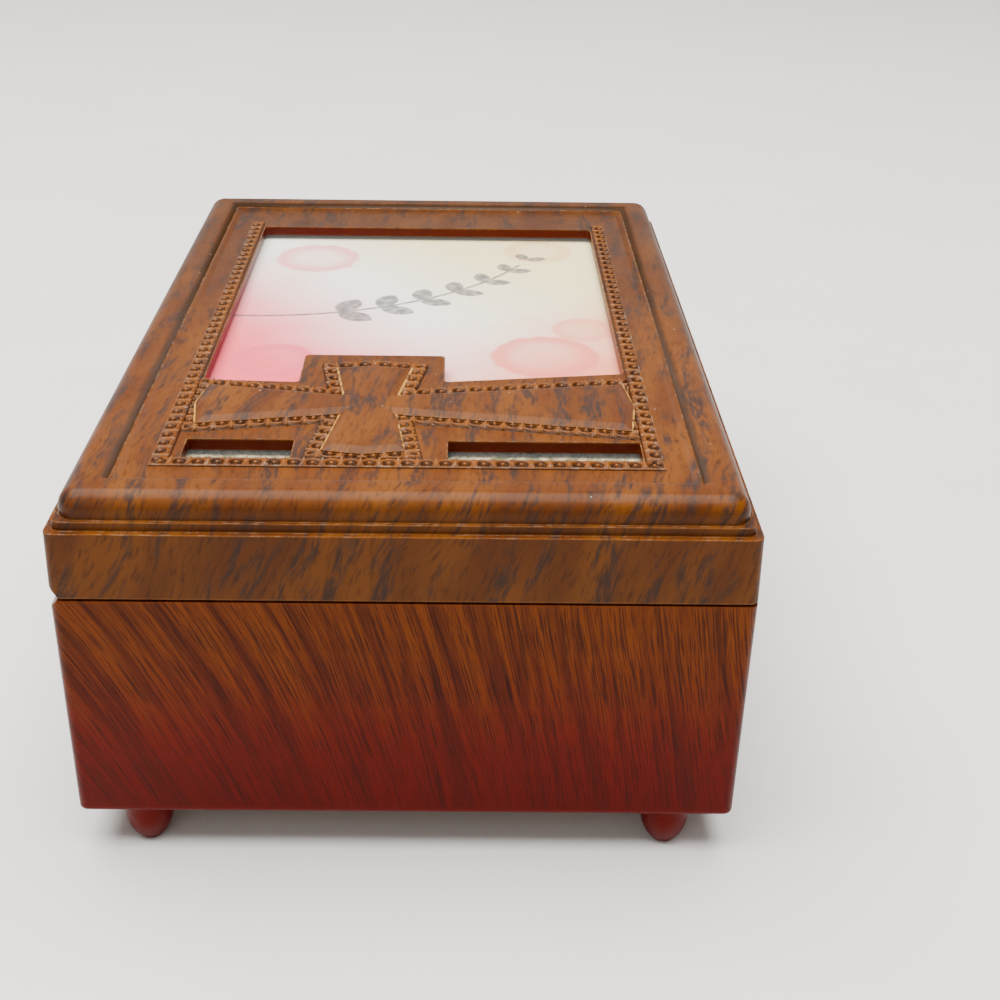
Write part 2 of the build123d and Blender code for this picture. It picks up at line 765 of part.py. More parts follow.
def worm():
    """Two-start worm on the upright shaft of the air brake."""
    lead = math.pi * worm_module * worm_starts
    turns = 2.2
    core_radius = 0.66
    low = axis_z - lead * turns / 2
    body = rod(0, 0, (low - 0.4, low + lead * turns + 0.4), core_radius)
    # A gap of the thread faces the wheel at the height of its axis
    phase = axis_z + lead / 4 - lead / 2
    offset_z = (phase - low) % (lead / worm_starts)
    for start in range(worm_starts):
        path = Helix(lead, lead * turns, core_radius, center=(0, 0, 0))
        plane = Plane(origin=(core_radius, 0, 0), x_dir=(1, 0, 0), z_dir=path % 0)
        section = plane * worm_section(core_radius)
        thread = sweep(section, path=path, is_frenet=True)
        turn = -360 * offset_z / lead + start * 360 / worm_starts
        body += Pos(0, 0, low) * Rot(0, 0, turn) * thread
    body -= rod(0, 0, (low - 2, low + lead * turns + 2), thin_radius)
    return Pos(worm_x, worm_y, 0) * body


def worm_section(core_radius):
    """Cross-section of the thread, drawn outwards along local X."""
    depth = worm_radius + 0.35 - core_radius
    points = [(-0.1, -0.3), (depth, -0.1), (depth, 0.1), (-0.1, 0.3)]
    return make_face(Polyline(*points, close=True))


def worm_shaft():
    return rod(worm_x, worm_y, (bed_top + 0.9, bed_top + 22.6), thin_radius)


def air_brake():
    """Two thin vanes on a hub, bent back at their tips."""
    low = bed_top + 17.0
    high = low + 4.2
    hub = rod(0, 0, (low - 0.3, high), 1.2)
    for turn in (0, 180):
        vane = block((0, 3.4), (0.2, 0.5), (low, high))
        vane += Pos(3.3, 0.35, 0) * Rot(0, 0, 35) * block((0, 1.25), (-0.15, 0.15), (low, high))
        hub += Rot(0, 0, turn) * vane
    return Pos(worm_x, worm_y, 0) * (hub - rod(0, 0, (low - 1, high + 1), thin_radius))


# Stop

def stop_plunger():
    """Rod that the closed lid holds down; its collar stops it under the clear cover."""
    bottom = lever_z + 0.9
    plunger = rod(plunger_x, plunger_y, (bottom, liner_bottom - 0.1), plunger_radius)
    plunger = fillet(plunger.edges().group_by(Axis.Z)[-1], 0.6)
    return plunger + rod(plunger_x, plunger_y, (cover_bottom - 4.3, cover_bottom - 3.1), 2.4)


def lever_pin():
    return rod_along_y(lever_x, (worm_y + 1.0, worm_y + 6.2), lever_z, lever_pin_radius)


def stop_lever():
    """Rocker under the plunger whose finger lies just below the vanes while the lid is shut."""
    y = (worm_y + 3.7, worm_y + 5.9)
    finger_top = bed_top + 16.65
    finger = (finger_top - 1.5, finger_top)
    tip = worm_x + 0.1
    end = plunger_x - 1.6
    low, high = lever_z - 1.0, lever_z + 0.8
    tail = [(lever_x, low), (lever_x, high), (end, high), (end, low)]
    nose = [(lever_x, lever_z - 1.6), (tip, finger[0]), (tip, finger[1]), (lever_x, lever_z + 1.6)]
    lever = rod_along_y(lever_x, y, lever_z, 2.3)
    for points in (tail, nose):
        face = make_face(Polyline(*points, close=True))
        lever += Pos(0, y[1], 0) * extrude(Plane.XZ * face, y[1] - y[0])
    lever += block((worm_x - 1.5, tip), (worm_y + 2.9, y[1]), finger)
    return lever - rod_along_y(lever_x, (y[0] - 1, y[1] + 1), lever_z, lever_pin_radius + running_gap)


def screws_at(places, z, turned, piece):
    """The same screw at each place; turned ones have their heads on top."""
    tip = Rot(180, 0, 0) if turned else Rot(0, 0, 0)
    return [Pos(x, y, z) * tip * piece for x, y in places]


# Base
export("base_shell", base_shell())
export("bottom_plate", bottom_plate())
plate_screw = screw(2.2, 1.2, 1.1, 5.0)
export("bottom_plate_screws", *screws_at(plate_screw_places(), plate_bottom, False, plate_screw))
export("tray_liner", tray_liner())
export("movement_cover", movement_cover())
export("cover_screws", *screws_at(cover_screw_places(), tray_top, True, screw(1.9, 1.0, 1.0, 6.0)))
export("base_hinge_leaves", *[hinge_leaf(x, -1) for x in hinge_centres])
export("base_hinge_screws", *hinge_screws(-1))
hinge_half = hinge_length / 2
hinge_pin_spans = [(x - hinge_half, x + hinge_half) for x in hinge_centres]
export("hinge_pins", *[rod_along_x(span, hinge_y, base_top, hinge_pin_radius) for span in hinge_pin_spans])

# Lid
export("lid_frame", lid_frame())
export("lid_panel", lid_panel())
export("glazing", rectangle(seat_inset + 0.2, (glazing_bottom, panel_bottom)))
export("picture_print", rectangle(seat_inset + 0.3, (print_bottom, glazing_bottom)))
export("backing_card", rectangle(seat_inset + 0.3, (frame_underside, print_bottom)))
lid_liner = slab(wall + 0.2, (liner_bottom, frame_underside), 1.0)
for place in liner_screw_places():
    lid_liner -= rod(*place, (liner_bottom - 1, frame_underside + 1), self_tap_hole)
export("lid_liner", lid_liner)
export("liner_screws", *screws_at(liner_screw_places(), liner_bottom, False, screw(2.0, 1.0, 1.0, 3.8)))
export("lid_hinge_leaves", *[hinge_leaf(x, 1) for x in hinge_centres])
export("lid_hinge_screws", *hinge_screws(1))

# Movement frame
export("bedplate", bedplate())
bed_screw = screw(2.2, 1.2, 1.0, 4.8)
export("movement_screws", *screws_at(movement_screw_places(), plate_bottom, False, bed_screw))
export("spring_barrel", spring_barrel())
export("barrel_cover", barrel_cover())
export("mainspring", mainspring())
export("bearing_bridge", bearing_bridge())
bridge_foot = bed_top + bridge_flange
export("bridge_screws", *screws_at(bridge_screw_places(), bridge_foot, True, screw(1.4, 0.8, 0.8, 3.1)))
export("comb_rest", comb_rest())
export("comb", comb())
comb_top = axis_z + comb_thickness
export("comb_screws", *screws_at(comb_screw_places(), comb_top, True, screw(1.5, 0.9, 0.8, 14.8)))
export("governor_bracket", governor_bracket())
bracket_foot = bed_top + 2.0
export("governor_screws", *screws_at(governor_screw_places(), bracket_foot, True, screw(1.4, 0.8, 0.8, 3.9)))
export("lever_pin", lever_pin())

# Winding
export("winding_arbor", winding_arbor())
export("winding_key", winding_key())
export("great_wheel", great_wheel())

# Cylinder
export("cylinder", cylinder())
export("cylinder_shaft", cylinder_shaft())
export("bevel_pinion", bevel_pinion())
export("cylinder_wheel", cylinder_wheel())

# Governor
export("governor_arbor", governor_arbor())
export("governor_pinion", governor_pinion())
export("worm_wheel", worm_wheel())
export("worm_shaft", worm_shaft())
export("worm", worm())
export("air_brake", air_brake())

# Stop
export("stop_plunger", stop_plunger())
export("stop_lever", stop_lever())
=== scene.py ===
import json
import math

import bpy
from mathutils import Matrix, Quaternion, Vector


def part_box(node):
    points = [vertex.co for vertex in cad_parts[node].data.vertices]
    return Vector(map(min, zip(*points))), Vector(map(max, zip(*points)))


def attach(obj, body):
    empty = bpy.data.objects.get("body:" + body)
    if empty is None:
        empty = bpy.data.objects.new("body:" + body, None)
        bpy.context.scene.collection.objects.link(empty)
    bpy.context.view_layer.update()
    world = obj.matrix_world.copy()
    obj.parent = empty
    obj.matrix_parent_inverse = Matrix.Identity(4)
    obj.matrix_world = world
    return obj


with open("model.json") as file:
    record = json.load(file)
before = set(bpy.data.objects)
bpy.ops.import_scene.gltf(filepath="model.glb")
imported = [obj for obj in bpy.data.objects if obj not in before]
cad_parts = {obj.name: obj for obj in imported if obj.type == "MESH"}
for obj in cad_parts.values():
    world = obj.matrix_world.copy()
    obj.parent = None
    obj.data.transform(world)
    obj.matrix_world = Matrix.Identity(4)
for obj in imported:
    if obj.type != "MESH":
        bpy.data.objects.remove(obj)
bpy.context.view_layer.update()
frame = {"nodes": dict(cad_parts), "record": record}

# Lengths below are in millimetres, except where they go to Blender.
MM = 0.001


def millimetres(node):
    """The low and the high corner of a node's box."""
    low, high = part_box(node)
    return low / MM, high / MM


lid_low, lid_high = millimetres("lid_frame")
base_low, _ = millimetres("base_shell")
_, panel_high = millimetres("lid_panel")

LENGTH = lid_high.x - lid_low.x
WIDTH = lid_high.y - lid_low.y
CREST = lid_high.z
SEAM = lid_low.z
CROSS_RISE = 1.0
PANEL_TOP = panel_high.z - CROSS_RISE
# The feet are plain up to here, where the printed wall begins
PRINT_START = base_low.z + 8.2

# The raised cross, the openings beside it and the tooled borders
CROSS_CENTRE = (-42.2, 7.3)
WINDOW_FAR = 57.1
BORDER_NEAR = -65.2
BORDER_SIDE = 40.2
BORDER_WIDTH = 2.7
MOTIF_PITCH = 3.0
# Distance of the beads from the edge where the border's figure starts
BEAD_ROW = 0.8
# Plain rim outside the picture's border
RIM_WIDTH = 0.3
RIM_HEIGHT = 0.36
# Spacing of the borders' grids, and how far their feet lie below the panel's surface
GRID = 0.13
SINK = 0.02
# Inset of the groove between the crest moulding and the panel, and the width of the roll down to it
GROOVE = 8.5
ROLL = 1.6


# Shader building

class Shader:
    """A material and its nodes, with one short call for each kind of node."""

    def __init__(self, name):
        self.material = bpy.data.materials.new(name)
        self.material.use_nodes = True
        self.tree = self.material.node_tree
        self.surface = self.tree.nodes["Principled BSDF"]

    def node(self, kind, **settings):
        made = self.tree.nodes.new("ShaderNode" + kind)
        for key, value in settings.items():
            setattr(made, key, value)
        return made

    def feed(self, socket, value):
        """Links a socket's source, or sets a plain value."""
        if isinstance(value, bpy.types.NodeSocket):
            self.tree.links.new(value, socket)
        else:
            socket.default_value = value

    def math(self, operation, a, b=0.0):
        made = self.node("Math", operation=operation)
        self.feed(made.inputs[0], a)
        self.feed(made.inputs[1], b)
        return made.outputs[0]

    def plus(self, a, b):
        return self.math("ADD", a, b)

    def minus(self, a, b):
        return self.math("SUBTRACT", a, b)

    def times(self, a, b):
        return self.math("MULTIPLY", a, b)

    def vector(self, operation, a, b):
        made = self.node("VectorMath", operation=operation)
        self.feed(made.inputs[0], a)
        self.feed(made.inputs[1], b)
        return made.outputs["Value" if operation in ("DISTANCE", "DOT_PRODUCT") else "Vector"]

    def join(self, x, y, z=0.0):
        made = self.node("CombineXYZ")
        for socket, value in zip(made.inputs, (x, y, z)):
            self.feed(socket, value)
        return made.outputs[0]

    def split(self, vector):
        made = self.node("SeparateXYZ")
        self.feed(made.inputs[0], vector)
        return made.outputs[0], made.outputs[1], made.outputs[2]

    def place(self):
        """The point in the row frame, in millimetres, wherever the body has moved."""
        made = self.node("VectorMath", operation="SCALE")
        self.feed(made.inputs[0], self.node("TexCoord").outputs["Object"])
        made.inputs["Scale"].default_value = 1 / MM
        return made.outputs[0]

    def normal(self):
        return self.node("TexCoord").outputs["Normal"]

    def noise(self, vector, scale, detail=2.0, roughness=0.5, distortion=0.0):
        made = self.node("TexNoise")
        self.feed(made.inputs["Vector"], vector)
        made.inputs["Scale"].default_value = scale
        made.inputs["Detail"].default_value = detail
        made.inputs["Roughness"].default_value = roughness
        made.inputs["Distortion"].default_value = distortion
        return made.outputs["Fac"]

    def grain(self, across, along, scales, detail, roughness=0.5, distortion=0.0):
        """Noise stretched along the grain; scales are for the directions across and along it."""
        stretched = self.join(self.times(across, scales[0]), self.times(along, scales[1]))
        return self.noise(stretched, 1.0, detail, roughness, distortion)

    def cells(self, vector, scale, output="Distance"):
        made = self.node("TexVoronoi")
        self.feed(made.inputs["Vector"], vector)
        made.inputs["Scale"].default_value = scale
        return made.outputs[output]

    def step(self, value, low, high, start=0.0, end=1.0):
        """start below low, end above high, and smooth between them."""
        made = self.node("MapRange", interpolation_type="SMOOTHSTEP")
        for key, number in (("From Min", low), ("From Max", high), ("To Min", start), ("To Max", end)):
            self.feed(made.inputs[key], number)
        self.feed(made.inputs["Value"], value)
        return made.outputs["Result"]

    def mix(self, factor, a, b):
        made = self.node("Mix", data_type="RGBA")
        self.feed(made.inputs[0], factor)
        self.feed(made.inputs[6], a)
        self.feed(made.inputs[7], b)
        return made.outputs[2]

    def over(self, ground, colour, *masks):
        """The colour laid over the ground, by the product of the masks and amounts."""
        factor = masks[0]
        for mask in masks[1:]:
            factor = self.times(factor, mask)
        return self.mix(factor, ground, colour)

    def bump(self, height, distance, strength=1.0, normal=None):
        """Relief of height times distance, in millimetres."""
        made = self.node("Bump")
        self.feed(made.inputs["Height"], height)
        made.inputs["Distance"].default_value = distance * MM
        made.inputs["Strength"].default_value = strength
        if normal is not None:
            self.feed(made.inputs["Normal"], normal)
        return made.outputs[0]

    def finish(self, **inputs):
        """Feeds the surface's inputs; underscores stand for spaces in their names."""
        for key, value in inputs.items():
            self.feed(self.surface.inputs[key.replace("_", " ")], value)
        return self.material


def rgb(red, green, blue):
    """A colour as it looks on a screen, 0 to 255, in Blender's linear values."""
    values = []
    for part in (red, green, blue):
        part /= 255
        values.append(part / 12.92 if part <= 0.04045 else ((part + 0.055) / 1.055) ** 2.4)
    return (*values, 1.0)


def edge_mask(s, radius):
    """1 on edges that a rounding of this radius would bend and 0 on flat parts, and the rounded normal."""
    rounded = s.node("Bevel", samples=4)
    rounded.inputs["Radius"].default_value = radius * MM
    true_normal = s.node("NewGeometry").outputs["Normal"]
    agreement = s.vector("DOT_PRODUCT", rounded.outputs[0], true_normal)
    return s.step(s.minus(1.0, agreement), 0.02, 0.22), rounded.outputs[0]


def specks(s, point, scale, size, amount):
    """Sparse small flecks, such as dust: 1 on a fleck."""
    near = s.step(s.cells(point, scale), size * 0.5, size, 1.0, 0.0)
    chance = s.split(s.cells(point, scale, "Color"))[0]
    return s.times(near, s.step(chance, 1 - amount, 1 - amount + 0.02))


# Printed wood grain

def grain_base():
    """Base: fine dark pores that fan out across the wall, brown at the rim and deep red low down, the red a painted
    reflection of a pink card.
    """
    s = Shader("wood_grain_base")
    point = s.place()
    x, y, z = s.split(point)
    _, facing_side, _ = s.split(s.normal())
    on_long_side = s.math("GREATER_THAN", s.math("ABSOLUTE", facing_side), 0.7)
    # Distance along the wall, from the corner where the grain leans most; the long sides start further on
    along_end = s.times(s.minus(WIDTH / 2, y), s.minus(1.0, on_long_side))
    along_side = s.times(s.plus(x, LENGTH / 2 + 45.0), on_long_side)
    across = s.plus(along_end, along_side)
    depth = s.minus(SEAM, z)
    lean = s.times(depth, s.step(across, -20.0, 90.0, 0.72, 0.14))
    wobble = s.times(s.minus(s.noise(point, 0.02, 1.0), 0.5), 4.0)
    line = s.plus(s.minus(across, lean), wobble)
    pores = s.grain(line, depth, (3.8, 0.1), 3.0, 0.6)
    veins = s.grain(line, depth, (1.3, 0.045), 2.0)
    fine = s.grain(line, depth, (6.5, 0.2), 2.0)
    bands = s.grain(line, depth, (0.34, 0.014), 3.0, 0.55, 0.6)
    # The deep red low down is a painted reflection of a pink card
    reflected_red = s.step(s.plus(depth, s.times(bands, 22.0)), 14.0, 42.0)
    ground = s.mix(reflected_red, rgb(94, 43, 4), rgb(88, 8, 0))
    ground = s.over(ground, rgb(78, 0, 0), s.step(depth, 18.0, 40.0))
    # The grain fades low down, and the feet are plain
    printed = s.times(s.step(z, PRINT_START, PRINT_START + 1.0), s.step(depth, 14.0, 42.0, 1.0, 0.6))
    ground = s.over(ground, rgb(40, 4, 0), printed, s.step(bands, 0.44, 0.7, 0.0, 0.65))
    ground = s.over(ground, rgb(38, 4, 0), printed, s.step(fine, 0.5, 0.68, 0.0, 0.5))
    ground = s.over(ground, rgb(20, 1, 0), printed, s.step(pores, 0.5, 0.6, 0.0, 0.74))
    ground = s.over(ground, rgb(14, 1, 1), printed, s.step(veins, 0.57, 0.66, 0.0, 0.5))
    edge, rounded = edge_mask(s, 0.5)
    # Edges are painted lighter: a painted highlight along them
    ground = s.over(ground, rgb(150, 72, 30), edge, 0.3)
    ground = s.over(ground, rgb(190, 150, 130), specks(s, point, 0.55, 0.11, 0.1), 0.4)
    height = s.plus(s.times(pores, -0.7), s.times(s.noise(point, 0.5, 3.0), 0.6))
    relief = s.bump(height, 0.05, 0.8, rounded)
    rough = s.plus(0.3, s.times(s.noise(point, 0.09, 3.0), 0.16))
    # The red specular tint is a painted reflection of the pink card
    return s.finish(Base_Color=ground, Roughness=rough, Normal=relief, Coat_Weight=0.05, Coat_Roughness=0.2,
                    Specular_IOR_Level=0.16, Specular_Tint=(1.0, 0.34, 0.22, 1.0))


def grain_lid(name="wood_grain_lid", carved=False):
    """Lid: orange-brown with broken blue-grey streaks that run over the moulding and along the top."""
    s = Shader(name)
    point = s.place()
    x, y, z = s.split(point)
    _, facing_side, facing_up = s.split(s.normal())
    drop = s.minus(CREST, z)
    on_long_side = s.step(s.math("ABSOLUTE", facing_side), 0.75, 0.9)
    # The film is wrapped: its streaks run along X on top and down the short walls, where they lean more
    across = s.plus(y, s.times(drop, on_long_side))
    along = s.minus(x, s.times(drop, s.minus(1.0, on_long_side)))
    lean = s.plus(s.times(along, 0.08), s.times(drop, -0.3))
    sway = s.times(s.minus(s.noise(point, 0.03, 2.0), 0.5), 10.0)
    line = s.plus(s.plus(across, lean), sway)
    streaks = s.grain(line, along, (0.34, 0.06), 5.0, 0.6, 0.25)
    flakes = s.grain(line, along, (1.5, 0.3), 4.0, 0.6, 0.2)
    patches = s.grain(line, along, (0.12, 0.03), 2.0)
    ground = s.mix(s.step(patches, 0.3, 0.7), rgb(102, 55, 12), rgb(80, 38, 8))
    ground = s.over(ground, rgb(52, 23, 5), s.step(flakes, 0.48, 0.68, 0.0, 0.6))
    ground = s.over(ground, rgb(40, 31, 29), s.step(streaks, 0.47, 0.62), s.step(flakes, 0.34, 0.54), 0.82)
    ground = s.over(ground, rgb(28, 16, 15), s.step(flakes, 0.62, 0.74, 0.0, 0.6))
    # Darker towards the far end, with painted shade on the walls, which face away from the overhead light
    shade = s.math("MAXIMUM", s.step(x, -50.0, 60.0, 0.0, 0.42), s.step(facing_up, 0.2, 0.7, 0.3, 0.0))
    ground = s.over(ground, rgb(34, 16, 5), shade)
    # The walls of the openings are deep red: painted shade in these recesses
    inset = s.math("MINIMUM", s.minus(LENGTH / 2, s.math("ABSOLUTE", x)), s.minus(WIDTH / 2, s.math("ABSOLUTE", y)))
    recess_shade = s.step(z, PANEL_TOP - 0.5, PANEL_TOP - 0.1, 1.0, 0.0)
    ground = s.over(ground, rgb(66, 3, 1), recess_shade, s.step(inset, 10.5, 11.5), 0.9)
    # Painted shade darkens the groove round the panel, except at the near end
    rolling = s.step(inset, GROOVE - 1.7, GROOVE - 0.35)
    before_lip = s.step(inset, GROOVE, GROOVE + 0.08, 1.0, 0.0)
    past_near_end = s.step(x, -72.0, -70.5, 0.2, 1.0)
    upward = s.step(facing_up, 0.0, 0.3)
    ground = s.over(ground, rgb(34, 16, 1), rolling, before_lip, past_near_end, upward, 0.85)
    if carved:
        # Painted shade darkens the low ground between the raised figures and their steep sides, and their tops are
        # lighter
        low = s.step(z, PANEL_TOP + 0.1, PANEL_TOP + 0.34, 1.0, 0.0)
        steep = s.step(facing_up, 0.4, 0.8, 0.6, 0.0)
        ground = s.over(ground, rgb(30, 10, 1), s.math("MAXIMUM", low, steep), 0.9)
        ground = s.over(ground, rgb(160, 94, 36), s.step(z, PANEL_TOP + 0.4, PANEL_TOP + 0.6, 0.0, 0.4))
    edge, rounded = edge_mask(s, 0.45)
    # Edges are lighter in patches: wear, and a painted highlight along them
    worn_and_lit = s.step(s.noise(point, 0.35, 3.0), 0.3, 0.6, 0.25, 0.8)
    ground = s.over(ground, rgb(172, 108, 44), edge, worn_and_lit, 0.55)
    # Dust lies in the angles of the top
    dusty = s.step(s.noise(point, 0.8, 4.0), 0.5, 0.62)
    ground = s.over(ground, rgb(222, 200, 178), edge, s.step(facing_up, 0.2, 0.8), dusty, 0.35)
    ground = s.over(ground, rgb(210, 190, 170), specks(s, point, 0.5, 0.1, 0.06), 0.45)
    height = s.plus(s.times(flakes, -0.5), s.times(s.noise(point, 0.3, 4.0), 0.7))
    relief = s.bump(height, 0.06, 0.8, rounded)
    rough = s.plus(0.33, s.times(s.noise(point, 0.12, 3.0), 0.16))
    return s.finish(Base_Color=ground, Roughness=rough, Normal=relief, Coat_Weight=0.06, Coat_Roughness=0.25,
                    Specular_IOR_Level=0.12, Specular_Tint=(1.0, 0.72, 0.5, 1.0))


def worn_and_lit_edge():
    """Lacquer worn through to its pale golden ground in patches, with a painted highlight."""
    s = Shader("worn_and_lit_edge")
    rubbed_and_lit = s.noise(s.place(), 0.7, 4.0, 0.6)
    colour = s.mix(s.step(rubbed_and_lit, 0.4, 0.58), rgb(88, 46, 12), rgb(190, 134, 52))
    return s.finish(Base_Color=colour, Roughness=0.38, Normal=s.bump(rubbed_and_lit, 0.05))


# Materials inside the box

def flock():
    """Short brown flock: a soft pile with a faint nap."""
    s = Shader("flock")
    point = s.place()
    pile = s.noise(point, 3.2, 3.0, 0.7)
    nap = s.noise(point, 0.06, 3.0)
    colour = s.mix(s.step(nap, 0.3, 0.7), rgb(84, 48, 32), rgb(104, 62, 42))
    colour = s.over(colour, rgb(48, 25, 16), s.step(pile, 0.35, 0.65, 0.0, 0.6))
    return s.finish(Base_Color=colour, Roughness=0.95, Normal=s.bump(pile, 0.25), Specular_IOR_Level=0.15,
                    Sheen_Weight=0.22, Sheen_Roughness=0.5)


def board():
    """Pressed fibreboard: matted short fibres."""
    s = Shader("board")
    point = s.place()
    fibres = s.noise(s.vector("MULTIPLY", point, (2.2, 0.7, 1.0)), 1.0, 5.0, 0.65, 0.8)
    other = s.noise(s.vector("MULTIPLY", point, (0.6, 2.4, 1.0)), 1.0, 4.0, 0.6, 0.6)
    colour = s.mix(s.step(fibres, 0.35, 0.7), rgb(150, 124, 96), rgb(112, 88, 66))
    colour = s.over(colour, rgb(176, 152, 122), s.step(other, 0.55, 0.75, 0.0, 0.5))
    return s.finish(Base_Color=colour, Roughness=0.85, Normal=s.bump(fibres, 0.08))


def metal(name, light, dark, roughness, brush):
    """Metal with brushed or cast unevenness; brush stretches the pattern along each axis."""
    s = Shader(name)
    point = s.place()
    marks = s.noise(s.vector("MULTIPLY", point, brush), 1.0, 4.0, 0.6)
    stain = s.noise(point, 0.25, 3.0)
    colour = s.mix(s.step(stain, 0.35, 0.75), light, dark)
    rough = s.plus(roughness - 0.06, s.times(marks, 0.16))
    _, rounded = edge_mask(s, 0.12)
    relief = s.bump(marks, 0.012, 1.0, rounded)
    return s.finish(Base_Color=colour, Roughness=rough, Metallic=1.0, Normal=relief)


def plastic(name, colour, shade, roughness):
    """Moulded plastic with a fine spark texture."""
    s = Shader(name)
    point = s.place()
    spark = s.noise(point, 4.0, 3.0)
    mottle = s.noise(point, 0.2, 3.0)
    return s.finish(Base_Color=s.mix(mottle, colour, shade), Roughness=roughness, Normal=s.bump(spark, 0.03))


def clear():
    """Clear sheet with faint wipe marks."""
    s = Shader("clear")
    wipe = s.noise(s.vector("MULTIPLY", s.place(), (0.05, 0.5, 0.5)), 1.0, 4.0, 0.6, 0.5)
    rough = s.plus(0.04, s.times(s.step(wipe, 0.4, 0.8), 0.1))
    s.material.surface_render_method = "DITHERED"
    return s.finish(Base_Color=(0.5, 0.52, 0.51, 1.0), Roughness=rough, IOR=1.49, Alpha=0.07)


# The print under the sheet, a generic design

def blossom(s, flat, middle, radius):
    """A soft round blossom, deepest at its ragged rim."""
    away = s.vector("DISTANCE", flat, (*middle, 0.0))
    ragged = s.plus(away, s.times(s.noise(flat, 0.4, 2.0), 2.2))
    inside = s.step(ragged, radius, radius + 1.4, 1.0, 0.0)
    return s.times(inside, s.step(ragged, radius * 0.5, radius, 0.3, 0.85))


def leaf(s, flat, centre, turn, size):
    """1 inside a pointed leaf, the part that two circles share; size is half its length."""
    fullness = 0.62
    radius = size * (1 + fullness ** 2) / (2 * fullness)
    direction = math.radians(turn)
    side = Vector((-math.sin(direction), math.cos(direction))) * (radius - size * fullness)
    distances = [
        s.vector("DISTANCE", flat, (centre[0] + sign * side.x, centre[1] + sign * side.y, 0.0)) for sign in (-1, 1)
    ]
    return s.step(s.math("MAXIMUM", *distances), radius - 0.35, radius + 0.1, 1.0, 0.0)


def sprig(s, flat, x):
    """1 on a bowed stem with pairs of leaves that get smaller."""
    bow, reach = (70.0, 34.0, 0.0), 62.0
    off_stem = s.math("ABSOLUTE", s.minus(s.vector("DISTANCE", flat, bow), reach))
    within = s.times(s.step(x, -14.0, -13.0), s.step(x, 40.0, 41.0, 1.0, 0.0))
    ink = s.times(s.step(off_stem, 0.28, 0.55, 1.0, 0.0), within)
    for i in range(7):
        angle = 196 + 8.2 * i
        foot_x = bow[0] + reach * math.cos(math.radians(angle))
        foot_y = bow[1] + reach * math.sin(math.radians(angle))
        size = 4.2 - 0.3 * i
        for side in (-1, 1):
            turn = angle + 90 + side * 48
            centre = (foot_x + math.cos(math.radians(turn)) * size, foot_y + math.sin(math.radians(turn)) * size)
            ink = s.math("MAXIMUM", ink, leaf(s, flat, centre, turn, size))
    return ink


def picture():
    """Pale wash from pink to cream with a plain sprig and soft round blossoms."""
    s = Shader("print")
    x, y, _ = s.split(s.place())
    flat = s.join(x, y)
    drift = s.times(s.minus(s.noise(flat, 0.03, 3.0), 0.5), 26.0)
    to_pink = s.minus(s.times(y, 0.9), s.times(x, 0.75))
    to_peach = s.minus(s.times(x, -0.7), s.times(y, 0.7))
    colour = s.mix(s.step(s.plus(to_pink, drift), -14.0, 40.0), rgb(253, 247, 236), rgb(250, 66, 92))
    colour = s.over(colour, rgb(246, 224, 140), s.step(s.minus(drift, to_pink), 0.0, 50.0), 0.75)
    colour = s.over(colour, rgb(252, 112, 52), s.step(s.plus(to_peach, drift), 4.0, 38.0), 0.85)
    for middle, radius, tint in (
        ((-12.0, -24.0), 10.5, rgb(240, 112, 92)),
        ((2.0, -32.0), 6.5, rgb(246, 150, 122)),
        ((-15.0, 27.0), 8.5, rgb(232, 70, 100)),
        ((44.0, 24.0), 9.5, rgb(246, 150, 150)),
        ((50.0, -25.0), 8.0, rgb(240, 196, 130)),
    ):
        colour = s.over(colour, tint, blossom(s, flat, middle, radius))
    uneven = s.step(s.noise(flat, 0.6, 4.0), 0.2, 0.7, 0.55, 0.95)
    colour = s.over(colour, rgb(74, 76, 78), sprig(s, flat, x), uneven)
    paper = s.noise(s.vector("MULTIPLY", flat, (1.0, 0.7, 1.0)), 1.1, 5.0, 0.7)
    colour = s.over(colour, rgb(232, 150, 140), s.step(paper, 0.45, 0.7, 0.0, 0.18))
    # The strip behind the small windows is duller and mottled
    patches = s.step(s.noise(flat, 0.42, 5.0, 0.72), 0.38, 0.62)
    mottle = s.mix(patches, rgb(98, 100, 52), rgb(238, 214, 168))
    colour = s.over(colour, mottle, s.step(x, -54.0, -50.0, 1.0, 0.0))
    return s.finish(Base_Color=colour, Roughness=0.55, Normal=s.bump(paper, 0.05))


materials = {
    "wood_grain_base": grain_base(),
    "wood_grain_lid": grain_lid(),
    "flock": flock(),
    "board": board(),
    "print": picture(),
    "clear": clear(),
    "brass": metal("brass", rgb(222, 186, 112), rgb(190, 148, 78), 0.3, (0.6, 0.6, 6.0)),
    "steel": metal("steel", rgb(205, 206, 208), rgb(170, 172, 176), 0.25, (0.8, 0.8, 5.0)),
    "screw_steel": metal("screw_steel", rgb(190, 190, 186), rgb(140, 140, 138), 0.34, (2.0, 2.0, 2.0)),
    "cast_zinc": metal("cast_zinc", rgb(176, 176, 178), rgb(140, 141, 145), 0.48, (1.4, 1.4, 1.4)),
    "spring_steel": metal("spring_steel", rgb(92, 102, 126), rgb(66, 72, 90), 0.26, (0.4, 0.4, 7.0)),
    "white_plastic": plastic("white_plastic", rgb(232, 230, 222), rgb(214, 211, 200), 0.42),
    "black_plastic": plastic("black_plastic", rgb(34, 33, 32), rgb(46, 44, 42), 0.5),
}

for part in frame["record"]["subparts"]:
    node = frame["nodes"][part["node"]]
    node.data.materials.clear()
    node.data.materials.append(materials[part["material_slot"]])


# Pieces on the lid

